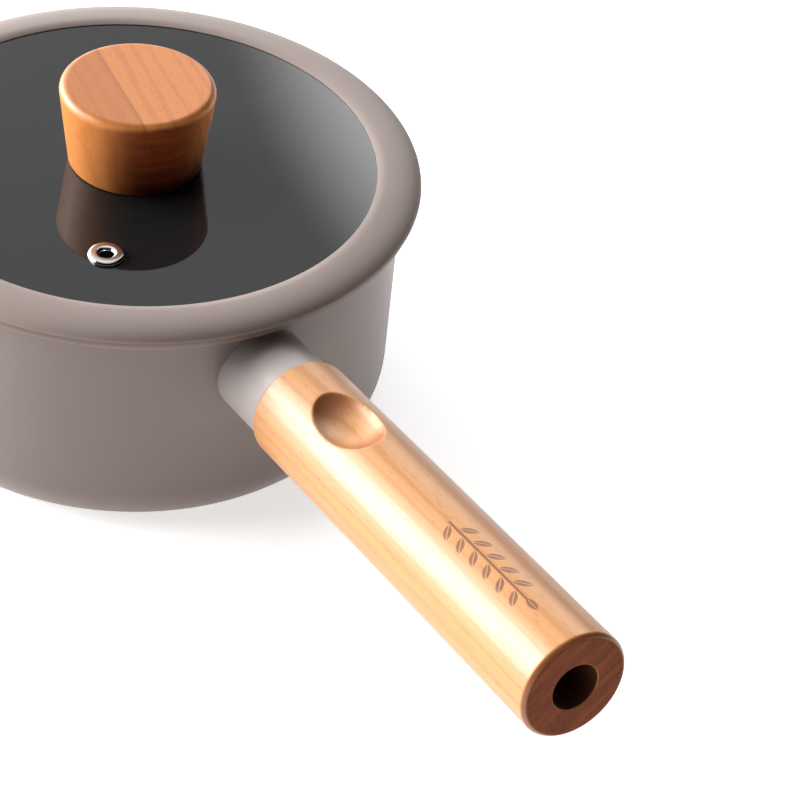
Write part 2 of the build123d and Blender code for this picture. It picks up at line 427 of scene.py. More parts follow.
@dataclass(frozen=True)
class PanCoat:
    """The pan's coating: matte outside, smoother and paler on the cooking side, with painted shade along the
    flange's upper outer edge.

    Args:
        name: the material's name.
        outside: colour outside.
        inside: colour of the cooking surface.
        mouth_r: radius of the mouth in metres.
        core_r: radius at which the bottom corner's rounding is centred, in metres.
        core_z: height at which it is centred, in metres.
        mid_shell: distance from that centre to the middle of the shell, in metres.
        flange_r: radius of the flange in metres.
        top_z: height of the mouth in metres.
    """

    name: str
    outside: Colour
    inside: Colour
    mouth_r: float
    core_r: float
    core_z: float
    mid_shell: float
    flange_r: float
    top_z: float

    def material(self) -> bpy.types.Material:
        """Builds the material."""
        bench = NodeBench(self.name)
        place = bench.place()
        parts = bench.node("SeparateXYZ", Vector=place)
        radius = bench.radius(place)
        within = bench.ramp(radius, self.mouth_r + 0.0006, self.mouth_r + 0.0002)
        out = bench.maths("MAXIMUM", bench.maths("SUBTRACT", radius, self.core_r), 0.0)
        down = bench.maths("MAXIMUM", bench.maths("SUBTRACT", self.core_z, parts.outputs["Z"]), 0.0)
        reach = bench.node("CombineXYZ", X=out, Y=down, Z=0.0).outputs[0]
        depth = bench.node("VectorMath", {"operation": "LENGTH"}, Vector=reach).outputs["Value"]
        inward = bench.ramp(depth, self.mid_shell + 0.0002, self.mid_shell - 0.0002)
        inner = bench.maths("MULTIPLY", within, inward)
        cloud, _, height = sprayed_skin(bench, place)
        speck = bench.ramp(bench.noise(place, 1500.0, 1.0), 0.68, 0.72)
        colour = bench.mix(inner, self.outside, self.inside)
        colour = bench.mix(bench.maths("MULTIPLY", cloud, 0.12), colour, (0.0, 0.0, 0.0))
        # Painted shade: the flange's upper outer edge, under the silicone rim's overhang, is darkened for the
        # shadow in the gap between them.
        outer = bench.ramp(radius, self.flange_r - 0.0012, self.flange_r - 0.0002)
        upper = bench.ramp(parts.outputs["Z"], self.top_z - 0.0024, self.top_z - 0.0008)
        gap_shade = bench.maths("MULTIPLY", bench.maths("MULTIPLY", outer, upper), 0.6)
        colour = bench.mix(gap_shade, colour, FLANGE_GAP_SHADE)
        dots = bench.maths("MULTIPLY", speck, bench.maths("MULTIPLY_ADD", inner, 0.35, 0.05))
        colour = bench.mix(dots, colour, COAT_SPECK)
        bench.bump(height, 0.5, COAT_GRAIN)
        rough = bench.maths("MULTIPLY_ADD", inner, -0.14, bench.maths("MULTIPLY_ADD", cloud, 0.08, 0.36))
        return bench.finish(Base_Color=colour, Roughness=rough, Specular_IOR_Level=0.5)


@dataclass(frozen=True)
class Silicone:
    """Moulded silicone: matte, faintly waxy, with a dusting of fine marks.

    Args:
        name: the material's name.
        colour: its colour.
        roughness: its mean roughness.
    """

    name: str
    colour: Colour
    roughness: float = 0.55

    def material(self) -> bpy.types.Material:
        """Builds the material."""
        bench = NodeBench(self.name)
        place = bench.place()
        cloud = bench.noise(place, 30.0, 3.0)
        skin = bench.noise(place, 1900.0, 3.0, 0.6)
        lint = bench.ramp(bench.noise(place, 700.0, 1.0), 0.72, 0.78)
        pale = tuple(min(1.0, c * 1.05) for c in self.colour)
        colour = bench.mix(cloud, tuple(c * 0.95 for c in self.colour), pale)
        colour = bench.mix(bench.maths("MULTIPLY", lint, 0.03), colour, LINT)
        bench.bump(skin, 0.4, COAT_GRAIN)
        rough = bench.maths("MULTIPLY_ADD", cloud, 0.1, self.roughness - 0.05)
        return bench.finish(
            Base_Color=colour,
            Roughness=rough,
            Specular_IOR_Level=0.4,
            Sheen_Weight=0.12,
            Sheen_Roughness=0.5,
            Subsurface_Weight=0.06,
            Subsurface_Radius=(0.003, 0.002, 0.0015),
            Subsurface_Scale=1.0,
        )


@dataclass(frozen=True)
class SmokedGlass:
    """Tempered glass, tinted nearly black, with faint wiping marks.

    Args:
        name: the material's name.
        tint: colour that light keeps through it.
    """

    name: str
    tint: Colour

    def material(self) -> bpy.types.Material:
        """Builds the material."""
        bench = NodeBench(self.name)
        place = bench.place()
        smear = bench.noise(bench.stretched(place, (1.0, 0.35, 1.0)), 90.0, 4.0, 0.6)
        tone = bench.mix(smear, tuple(c * 0.9 for c in self.tint), tuple(c * 1.1 for c in self.tint))
        rough = bench.maths("MULTIPLY_ADD", bench.ramp(smear, 0.45, 0.7), 0.03, 0.012)
        return bench.finish(Base_Color=tone, Roughness=rough, IOR=1.5, Transmission_Weight=0.55)


class SteelKind(Enum):
    """How a steel piece was finished."""

    POLISHED = "polished"
    PLATED = "plated"
    TURNED = "turned"


@dataclass(frozen=True)
class Steel:
    """Steel, polished, plated or turned in fine rings.

    Args:
        name: the material's name.
        kind: how it was finished.
        colour: its colour.
        roughness: its mean roughness.
    """

    name: str
    kind: SteelKind
    colour: Colour = (0.72, 0.72, 0.71)
    roughness: float = 0.12

    def material(self) -> bpy.types.Material:
        """Builds the material."""
        bench = NodeBench(self.name)
        place = bench.place()
        cloud = bench.noise(place, 160.0, 3.0)
        fine = bench.noise(place, 2400.0, 2.0)
        colour = bench.mix(cloud, tuple(c * 0.9 for c in self.colour), self.colour)
        rough = bench.maths("MULTIPLY_ADD", cloud, 0.08, self.roughness - 0.03)
        depth = 0.000004
        if self.kind is SteelKind.TURNED:
            rings = bench.node("CombineXYZ", X=bench.radius(place), Y=0.0, Z=0.0)
            fine = bench.noise(rings.outputs[0], 1800.0, 3.0, 0.7)
            colour = bench.mix(bench.maths("MULTIPLY", fine, 0.3), colour, (0.35, 0.34, 0.33))
            depth = 0.00001
        elif self.kind is SteelKind.PLATED:
            colour = bench.mix(bench.maths("MULTIPLY", cloud, 0.25), colour, (0.62, 0.6, 0.5))
        bench.bump(fine, 0.3, depth)
        return bench.finish(Base_Color=colour, Roughness=rough, Metallic=1.0)


@dataclass(frozen=True)
class BurntSprig:
    """A small leafy sprig burnt into wood, growing along its frame's Z axis. Sizes in metres.

    Args:
        frame_matrix: its frame in the row's frame: X out of the wood, Z along the stem.
        start: where the stem begins along Z.
        length: length of the stem.
        pitch: distance between leaves on one side.
        leaf_length: half length of a leaf.
        leaf_width: half width of a leaf.
        lean: angle between a leaf and the stem in degrees.
        spread: distance of a leaf's middle from the stem.
        stem_width: half width of the stem.
        edge: width of a mark's soft edge.
    """

    frame_matrix: Matrix
    start: float
    length: float
    pitch: float = 0.0072
    leaf_length: float = 0.0034
    leaf_width: float = 0.00135
    lean: float = 42.0
    spread: float = 0.0029
    stem_width: float = 0.00032
    edge: float = 0.00016

    def mask(self, bench: NodeBench) -> bpy.types.NodeSocket:
        """Wires the sprig's shape.

        Args:
            bench: the material's bench.

        Returns:
            An output that is 1 where the wood is burnt and 0 elsewhere.
        """
        parts = bench.node("SeparateXYZ", Vector=bench.place(self.frame_matrix))
        out, side, along = (parts.outputs[n] for n in ("X", "Y", "Z"))
        reach = bench.maths("SUBTRACT", along, self.start)
        upper = bench.maths("GREATER_THAN", out, 0.004)
        leaves = self._leaves(bench, side, reach)
        stem = bench.ramp(bench.maths("ABSOLUTE", side), self.stem_width + self.edge, self.stem_width)
        tip = self._leaf(bench, bench.maths("SUBTRACT", reach, self.length + 0.6 * self.leaf_length), side)
        within = bench.maths("MULTIPLY", bench.maths("GREATER_THAN", reach, 0.0), upper)
        before_tip = bench.maths("LESS_THAN", reach, self.length)
        body = bench.maths("MULTIPLY", bench.maths("MAXIMUM", leaves, stem), before_tip)
        return bench.maths("MULTIPLY", bench.maths("MAXIMUM", body, tip), within)

    def _leaves(self, bench: NodeBench, side: object, reach: object) -> bpy.types.NodeSocket:
        """Repeats a leaning leaf along the stem, half a pitch later on the other side."""
        other = bench.maths("MULTIPLY", bench.maths("LESS_THAN", side, 0.0), 0.5)
        turns = bench.maths("ADD", bench.maths("DIVIDE", reach, self.pitch), other)
        cell = bench.maths("MULTIPLY", bench.maths("SUBTRACT", bench.maths("FRACT", turns), 0.5), self.pitch)
        away = bench.maths("SUBTRACT", bench.maths("ABSOLUTE", side), self.spread)
        lean = math.radians(self.lean)
        sine, cosine = math.sin(lean), math.cos(lean)
        down_leaf = bench.maths("MULTIPLY_ADD", away, sine, bench.maths("MULTIPLY", cell, cosine))
        over_leaf = bench.maths("MULTIPLY_ADD", away, cosine, bench.maths("MULTIPLY", cell, -sine))
        first = bench.maths("GREATER_THAN", turns, bench.maths("MULTIPLY", other, 2.0))
        last = bench.maths("LESS_THAN", turns, float(round(self.length / self.pitch)))
        whole = bench.maths("MULTIPLY", first, last)
        return bench.maths("MULTIPLY", whole, self._leaf(bench, down_leaf, over_leaf))

    def _leaf(self, bench: NodeBench, down: object, over: object) -> bpy.types.NodeSocket:
        """A pointed leaf with a pale vein, from the distances down it and across it."""
        share = bench.maths("DIVIDE", down, self.leaf_length)
        taper = bench.maths("SUBTRACT", 1.0, bench.maths("POWER", share, 2.0))
        half = bench.maths("MULTIPLY", taper, self.leaf_width)
        across = bench.maths("ABSOLUTE", over)
        blade = bench.ramp(bench.maths("SUBTRACT", half, across), 0.0, self.edge)
        vein = bench.ramp(across, 0.00008, 0.00022)
        return bench.maths("MULTIPLY", blade, vein)


@dataclass(frozen=True)
class Beech:
    """Oiled steamed beech: growth bands, short dark flecks along the grain, darker end grain.

    The grain runs along the local Z axis of the frame that it is given. Sizes in metres.

    Args:
        name: the material's name.
        grain_frame: the wood's own frame in the row's frame.
        pale: colour between the bands.
        warm: colour of the bands.
        fleck: colour of the flecks.
        end_grain: colour where the cut shows the ends of the fibres.
        rounding: colour of the rounding before an end face, or None for the wood's own.
        painted_top_shade: painted shade, a darker tint on a face that looks straight up, for how the light
            falls on the top, or None for no tint.
        end_from: how squarely a surface cuts the fibres where the end grain starts to show.
        end_to: the same where it shows fully.
        pores: how dark the flecks are.
        band_width: distance between growth bands.
        lamination: distance of a glue line from the frame's YZ plane, or None for one piece of wood.
        bore_r: radius of a bore along the grain whose wall gets painted shade, or None.
        bore_end: where that bore opens along the grain.
        sprig: a sprig burnt into the wood, or None.
        gloss: the shader's specular level.
    """

    name: str
    grain_frame: Matrix
    pale: Colour
    warm: Colour
    fleck: Colour
    end_grain: Colour
    rounding: Colour | None = None
    painted_top_shade: Colour | None = None
    end_from: float = 0.45
    end_to: float = 0.92
    pores: float = 0.6
    band_width: float = 0.0034
    lamination: float | None = None
    bore_r: float | None = None
    bore_end: float = 0.0
    sprig: BurntSprig | None = None
    gloss: float = 0.5

    def material(self) -> bpy.types.Material:
        """Builds the material."""
        bench = NodeBench(self.name)
        place = bench.place(self.grain_frame)
        colour = self._bands(bench, place)
        flecks = self._flecks(bench, place)
        colour = bench.mix(bench.maths("MULTIPLY", flecks, self.pores), colour, self.fleck)
        square = self._squareness(bench)
        ends = bench.ramp(square, self.end_from, self.end_to)
        if self.rounding is not None:
            colour = bench.mix(bench.ramp(square, 0.15, 0.5), colour, self.rounding)
        # Painted shade: a face that looks straight up takes a darker tint, for how the light falls on the
        # top.
        if self.painted_top_shade is not None:
            up = bench.node("SeparateXYZ", Vector=bench.coordinates.outputs["Normal"]).outputs["Z"]
            top_shaded = bench.mix(1.0, colour, self.painted_top_shade, "MULTIPLY")
            colour = bench.mix(bench.ramp(up, 0.5, 0.95), colour, top_shaded)
        colour = bench.mix(ends, colour, self._end_colour(bench, place))
        fibre = bench.noise(bench.stretched(place, (1.0, 1.0, 0.04)), 1600.0, 3.0, 0.6)
        height = bench.maths("SUBTRACT", fibre, flecks)
        if self.sprig is not None:
            burnt = self.sprig.mask(bench)
            soot = bench.maths("MULTIPLY", burnt, bench.maths("MULTIPLY_ADD", fibre, 0.3, 0.74))
            colour = bench.mix(soot, colour, SOOT)
            height = bench.maths("SUBTRACT", height, burnt)
        # Painted shade: the bore's wall is darkened where little light reaches into it.
        if self.bore_r is not None:
            colour = bench.mix(self._bore_shade(bench, place), colour, BORE_SHADE)
        bench.bump(height, 0.35, WOOD_GRAIN)
        rough = bench.maths("MULTIPLY_ADD", fibre, 0.12, bench.maths("MULTIPLY_ADD", ends, 0.3, 0.34))
        shine = bench.maths("MULTIPLY_ADD", ends, -0.8 * self.gloss, self.gloss)
        return bench.finish(Base_Color=colour, Roughness=rough, Specular_IOR_Level=shine)

    def _bands(self, bench: NodeBench, place: object) -> bpy.types.NodeSocket:
        """Lays the growth bands and the slow drift in tone along the grain."""
        drift = bench.noise(bench.stretched(place, (1.0, 1.0, 0.12)), 45.0, 3.0)
        wander = bench.noise(bench.stretched(place, (1.0, 1.0, 0.1)), 70.0, 3.0, 0.6)
        parts = bench.node("SeparateXYZ", Vector=place)
        across = bench.maths("MULTIPLY_ADD", wander, 2.2 * self.band_width, parts.outputs["X"])
        across = bench.maths("MULTIPLY_ADD", parts.outputs["Y"], 0.22, across)
        wave = bench.maths("SINE", bench.maths("MULTIPLY", across, math.tau / self.band_width))
        line = bench.ramp(wave, 0.0, 1.0)
        strength = bench.maths("MULTIPLY", line, bench.maths("MULTIPLY_ADD", drift, 0.9, 0.05))
        colour = bench.mix(strength, self.pale, self.warm)
        fine = bench.noise(bench.stretched(place, (1.0, 1.0, 0.025)), 900.0, 4.0, 0.65)
        colour = bench.mix(bench.maths("MULTIPLY", bench.ramp(fine, 0.45, 0.75), 0.35), colour, self.warm)
        if self.lamination is not None:
            side = bench.ramp(parts.outputs["X"], self.lamination - 0.0001, self.lamination + 0.0001)
            gap = bench.maths("ABSOLUTE", bench.maths("SUBTRACT", parts.outputs["X"], self.lamination))
            seam = bench.ramp(gap, 0.0007, 0.0001)
            colour = bench.mix(side, colour, bench.mix(0.5, colour, tuple(c * 0.78 for c in self.warm)))
            colour = bench.mix(bench.maths("MULTIPLY", seam, 0.35), colour, self.fleck)
        return colour

    def _flecks(self, bench: NodeBench, place: object) -> bpy.types.NodeSocket:
        """Scatters the short dark pores, long along the grain and fine across it."""
        cells = bench.node("TexVoronoi", Vector=bench.stretched(place, (1500.0, 1500.0, 210.0)), Scale=1.0)
        chosen = bench.ramp(bench.node("SeparateColor", Color=cells.outputs["Color"]).outputs[0], 0.72, 0.78)
        dash = bench.ramp(cells.outputs["Distance"], 0.42, 0.18)
        return bench.maths("MULTIPLY", dash, chosen)

    def _squareness(self, bench: NodeBench) -> bpy.types.NodeSocket:
        """How squarely the surface cuts the fibres, from its normal."""
        grain = (self.grain_frame.to_3x3() @ Vector((0.0, 0.0, 1.0))).normalized()
        dot = bench.node("VectorMath", {"operation": "DOT_PRODUCT"})
        bench.plug(dot.inputs[0], bench.coordinates.outputs["Normal"])
        dot.inputs[1].default_value = grain
        return bench.maths("ABSOLUTE", dot.outputs["Value"])

    def _end_colour(self, bench: NodeBench, place: object) -> bpy.types.NodeSocket:
        """The end grain: fine pits and broad diagonal streaks."""
        pits = bench.noise(bench.stretched(place, (1.0, 1.0, 0.3)), 1500.0, 2.0)
        dark = bench.mix(bench.ramp(pits, 0.35, 0.7), tuple(c * 0.72 for c in self.end_grain), self.end_grain)
        streak = bench.noise(bench.stretched(place, (0.12, 1.0, 0.0)), 260.0, 2.0)
        share = bench.maths("MULTIPLY", bench.ramp(streak, 0.38, 0.68), 0.6)
        return bench.mix(share, dark, tuple(c * 1.5 for c in self.end_grain))

    def _bore_shade(self, bench: NodeBench, place: object) -> bpy.types.NodeSocket:
        """Painted shade on the bore's wall, from its radius and from where it opens."""
        parts = bench.node("SeparateXYZ", Vector=place)
        radius = bench.radius(place)
        within = bench.ramp(radius, self.bore_r + 0.0004, self.bore_r + 0.0001)
        sunk = bench.ramp(parts.outputs["Z"], self.bore_end, self.bore_end - 0.0006)
        return bench.maths("MULTIPLY", within, sunk)


@dataclass(frozen=True)
class PaleFloor:
    """A plain pale studio floor, lit a little from beneath.

    Args:
        name: the material's name.
        colour: its colour.
        glow: brightness of the light through it.
    """

    name: str
    colour: Colour = (0.88, 0.88, 0.88)
    glow: float = 0.65

    def material(self) -> bpy.types.Material:
        """Builds the material."""
        bench = NodeBench(self.name)
        cloud = bench.noise(bench.place(), 3.0, 2.0)
        colour = bench.mix(cloud, tuple(c * 0.99 for c in self.colour), self.colour)
        return bench.finish(
            Base_Color=colour,
            Roughness=0.9,
            Specular_IOR_Level=0.1,
            Emission_Color=(1.0, 1.0, 1.0),
            Emission_Strength=self.glow,
        )


# --- Sub-assemblies -------------------------------------------------------------------------


@dataclass
class HandleFrame:
    """The handle's line, read from the hanging bore's mount."""

    direction: Vector = field(init=False)
    height: float = field(init=False)
    bore_r: float = field(init=False)
    bore_depth: float = field(init=False)
    end: float = field(init=False)

    def __post_init__(self) -> None:
        """Reads the mount, in millimetres along the handle from the pan's axis."""
        mount = next(m for m in frame["record"]["mounts"] if m["name"] == "hanging_bore")
        place = Vector(mount["pos_m"])
        self.direction = Vector(mount["axis"]).normalized()
        along = place.x / self.direction.x
        self.height = place.z - along * self.direction.z
        self.bore_r = mount["dims"]["r_mm"]
        self.bore_depth = mount["dims"]["length_mm"]
        self.end = along / MM + self.bore_depth / 2.0

    def matrix(self) -> Matrix:
        """The handle's frame: Z along the handle from the pan's axis, X up across it."""
        up = Vector((-self.direction.z, 0.0, self.direction.x))
        side = self.direction.cross(up)
        turn = Matrix((up, side, self.direction)).transposed().to_4x4()
        return Matrix.Translation((0.0, 0.0, self.height)) @ turn


@dataclass
class Pan:
    """The cast pan with its flange and base plate. Sizes in millimetres."""

    coat: bpy.types.Material
    plate_finish: bpy.types.Material
    mouth_r: float = 90.0
    wall: float = 3.5
    base: float = 5.0
    corner: float = 18.0
    flange_thickness: float = 3.2
    flange_edge: float = 1.0
    flange_root: float = 1.5
    mouth_edge: float = 1.2
    steps: int = 224
    groove_pitch: float = 2.2
    groove_depth: float = 0.12

    def build(self) -> None:
        """Builds the shell and the base plate."""
        self._shell()
        self._plate()

    def _shell(self) -> None:
        """Turns the shell with its flange, mouth and plate recess."""
        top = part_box("pan_body")[1].z / MM
        flange_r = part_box("pan_body")[1].y / MM
        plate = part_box("induction_plate")[1] / MM
        outer_r = self.mouth_r + self.wall
        under = top - self.flange_thickness
        bm = turned(
            (
                Corner(0.0, plate.z),
                Corner(plate.x, plate.z),
                Corner(plate.x, 0.0),
                Corner(outer_r, 0.0, self.corner, 16),
                Corner(outer_r, under, self.flange_root, 6),
                Corner(flange_r, under, self.flange_edge, 6),
                Corner(flange_r, top, self.flange_edge, 6),
                Corner(self.mouth_r, top, self.mouth_edge, 6),
                Corner(self.mouth_r, self.base, self.corner - self.wall, 16),
                Corner(0.0, self.base),
            ),
            self.steps,
        )
        finish_piece(bm, "pan_shell", "pan", ("pan_body",), self.coat)

    def _plate(self) -> None:
        """Turns the base plate with its shallow rings."""
        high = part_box("induction_plate")[1] / MM
        corners = [Corner(0.0, high.z), Corner(high.x, high.z), Corner(high.x, 0.0, 0.2, 2)]
        ring_count = int(high.x / self.groove_pitch) - 1
        for i in reversed(range(1, ring_count)):
            r = i * self.groove_pitch
            corners.append(Corner(r + 0.35, 0.0))
            corners.append(Corner(r, self.groove_depth))
            corners.append(Corner(r - 0.35, 0.0))
        corners.append(Corner(0.0, 0.0))
        bm = turned(corners, 160)
        finish_piece(bm, "base_plate", "pan", ("induction_plate",), self.plate_finish)


@dataclass
class Handle:
    """The painted ferrule and the beech grip. Sizes in millimetres."""

    frame: HandleFrame
    coat: bpy.types.Material
    wall_r: float = 93.5
    ferrule_r: float = 16.0
    ferrule_bore: float = 13.0
    ferrule_cap: float = 5.0
    ferrule_edge: float = 0.6
    spigot_r: float = 9.0
    spigot_length: float = 4.0
    shank_r: float = 3.3
    head_bore_r: float = 6.6
    bolt_seat: float = 30.5
    grip_length: float = 159.5
    grip_start_r: float = 17.9
    grip_end_r: float = 18.2
    grip_start_edge: float = 0.8
    grip_end_edge: float = 2.0
    scoop_distance: float = 34.3
    scoop_half_length: float = 21.0
    scoop_r: float = 16.8
    scoop_depth: float = 5.5
    scoop_pitch: float = 4.0
    scoop_roll: float = 8.0
    scoop_ease: float = 0.35
    sprig_roll: float = 10.0
    sprig_length: float = 43.2
    sprig_distance: float = 22.0
    scoop_rows: int = 90
    plain_rows: int = 14
    steps: int = 240

    def build(self) -> None:
        """Builds the ferrule and the grip."""
        self._ferrule()
        self._grip()

    @property
    def seam(self) -> float:
        """Where the ferrule ends and the grip begins, along the handle."""
        return self.frame.end - self.grip_length

    def _ferrule(self) -> None:
        """Turns the ferrule and draws its near end onto the pan's round wall."""
        seam = self.seam
        near = self.wall_r - 6.0
        cap = seam - self.ferrule_cap
        bm = turned(
            (
                Corner(self.ferrule_bore, near),
                Corner(self.ferrule_r, near),
                Corner(self.ferrule_r, seam, self.ferrule_edge, 4),
                Corner(self.spigot_r, seam),
                Corner(self.spigot_r, seam + self.spigot_length, 0.8, 3),
                Corner(self.shank_r, seam + self.spigot_length),
                Corner(self.shank_r, cap),
                Corner(self.ferrule_bore, cap),
            ),
            160,
        )
        place = self.frame.matrix()
        direction = self.frame.direction
        near_verts = [v for v in bm.verts if v.co.z < (near + 1.0) * MM]
        bm.transform(place)
        target = (self.wall_r - 0.1) * MM
        for v in near_verts:
            reach = math.sqrt(target**2 - v.co.y**2)
            v.co += direction * ((reach - v.co.x) / direction.x)
        finish_piece(bm, "ferrule_sleeve", "pan", ("handle_ferrule",), self.coat)

    def _grip(self) -> None:
        """Turns the grip with its bores, then carves the thumb scoop."""
        seam = self.seam
        end = self.frame.end
        floor = end - self.frame.bore_depth
        seat = seam + self.bolt_seat
        pocket = seam + self.spigot_length + 1.5
        bm = section(
            (
                Corner(self.spigot_r + 0.15, seam),
                Corner(self.grip_start_r, seam, self.grip_start_edge, 5),
                Corner(self.grip_end_r, end, self.grip_end_edge, 7),
                Corner(self.frame.bore_r, end, 0.35, 3),
                Corner(self.frame.bore_r, floor),
                Corner(self.head_bore_r, floor),
                Corner(self.head_bore_r, seat),
                Corner(self.shank_r, seat),
                Corner(self.shank_r, pocket),
                Corner(self.spigot_r + 0.15, pocket),
            )
        )
        self._rows(bm)
        spin_section(bm, self.steps)
        self._carve(bm)
        bm.transform(self.frame.matrix())
        finish_piece(bm, "beech_grip", "pan", ("handle_grip",), self._wood())

    def _rows(self, bm: bmesh.types.BMesh) -> None:
        """Divides the grip's outer line, finely where the scoop goes."""
        middle = self.seam + self.scoop_distance
        near = (middle - self.scoop_half_length) * MM
        far = (middle + self.scoop_half_length) * MM
        outer = 0.5 * (self.grip_start_r + self.grip_end_r) * MM - 0.001
        for height in (near, far):
            line = [e for e in bm.edges if all(v.co.x > outer for v in e.verts)]
            bmesh.ops.bisect_plane(bm, geom=line, plane_co=(0.0, 0.0, height), plane_no=(0.0, 0.0, 1.0))
        for edge in [e for e in bm.edges if all(v.co.x > outer for v in e.verts)]:
            low, high = sorted(v.co.z for v in edge.verts)
            if high - low < 0.004:
                continue
            within = low > near - WELD and high < far + WELD
            bmesh.ops.subdivide_edges(bm, edges=[edge], cuts=self.scoop_rows if within else self.plain_rows)

    def _carve(self, bm: bmesh.types.BMesh) -> None:
        """Sinks the scoop's spheroid into the grip, easing its rim."""
        height = self.grip_start_r - self.scoop_depth + self.scoop_r
        centre = Vector((height, 0.0, self.seam + self.scoop_distance)) * MM
        pitch = Matrix.Rotation(math.radians(self.scoop_pitch), 3, "Y")
        roll = Matrix.Rotation(math.radians(self.scoop_roll), 3, "Z")
        radii = Vector((self.scoop_r, self.scoop_r, self.scoop_half_length)) * MM
        squeeze = Matrix.Diagonal([1.0 / r for r in radii])
        to_ball = squeeze @ pitch.inverted() @ roll.inverted()
        ball = to_ball @ (roll @ centre)
        ease = self.scoop_ease * MM
        limit = (self.grip_start_r - 2.5) * MM
        for v in bm.verts:
            flat = Vector((v.co.x, v.co.y, 0.0))
            radius = flat.length
            if radius < limit or v.co.x < 0.0:
                continue
            ray = to_ball @ (flat / radius)
            start = to_ball @ Vector((0.0, 0.0, v.co.z)) - ball
            a, b, c = ray.dot(ray), 2.0 * ray.dot(start), start.dot(start) - 1.0
            under_root = b * b - 4.0 * a * c
            if under_root <= 0.0:
                continue
            cut = (-b - math.sqrt(under_root)) / (2.0 * a)
            blend = max(ease - abs(radius - cut), 0.0) / ease
            eased = min(radius, cut) - blend * blend * ease * 0.25
            v.co.x *= eased / radius
            v.co.y *= eased / radius

    def _wood(self) -> bpy.types.Material:
        """The grip's beech, with its grain along the handle."""
        turn = Matrix.Rotation(math.radians(-52.0), 4, "Z")
        end = self.frame.end * MM
        return Beech(
            name="grip_beech",
            grain_frame=self.frame.matrix() @ turn,
            pale=(0.43, 0.197, 0.062),
            warm=(0.315, 0.116, 0.028),
            fleck=(0.22, 0.075, 0.022),
            end_grain=(0.165, 0.040, 0.011),
            rounding=(0.255, 0.076, 0.014),
            end_from=0.86,
            end_to=0.97,
            band_width=0.0042,
            pores=0.55,
            gloss=0.65,
            # The hanging bore's wall is darkened with painted shade.
            bore_r=self.frame.bore_r * MM,
            bore_end=end,
            sprig=BurntSprig(
                self.frame.matrix() @ Matrix.Rotation(math.radians(self.sprig_roll), 4, "Z"),
                end - (self.sprig_length + self.sprig_distance) * MM,
                self.sprig_length * MM,
            ),
        ).material()


